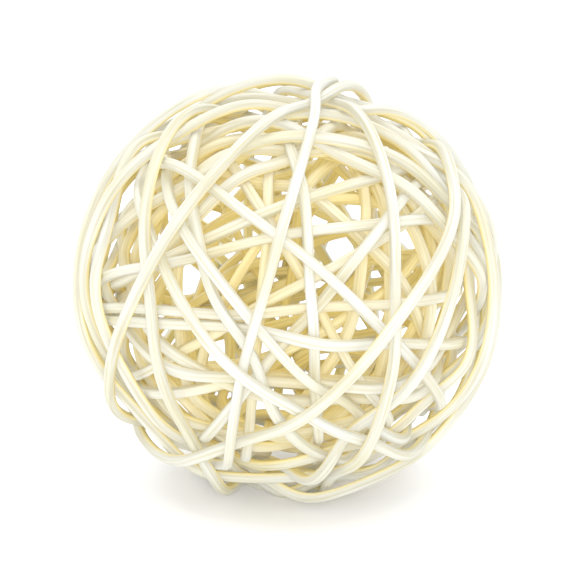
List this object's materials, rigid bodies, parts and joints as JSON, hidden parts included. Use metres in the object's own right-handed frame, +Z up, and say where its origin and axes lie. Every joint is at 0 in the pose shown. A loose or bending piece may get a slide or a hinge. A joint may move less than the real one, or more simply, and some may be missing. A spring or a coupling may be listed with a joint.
{
  "type": "decorative ball",
  "caption": "Hollow decorative ball wound from long lengths of round rattan cane in an open random weave, with a small flat spot underneath.",
  "frame": {"origin": "on the surface that the ball stands on, below the middle of its bounding box", "axes": "+Z up; the front of the ball looks along -Y; +X is to the right of someone facing the front"},
  "size_m": [0.1186, 0.1183, 0.1165],
  "materials": {
    "cane": "bleached natural rattan cane, satin, fine lengthwise fibres"
  },
  "bodies": {
    "root": {"cane_right_leaning": "cane", "cane_upper_left": "cane", "cane_lower_rim": "cane", "cane_level": "cane", "cane_falling_right": "cane", "cane_left_side": "cane", "cane_upright": "cane", "cane_right_side": "cane", "cane_inner": "cane", "cane_crossing": "cane"}
  },
  "joints": []
}
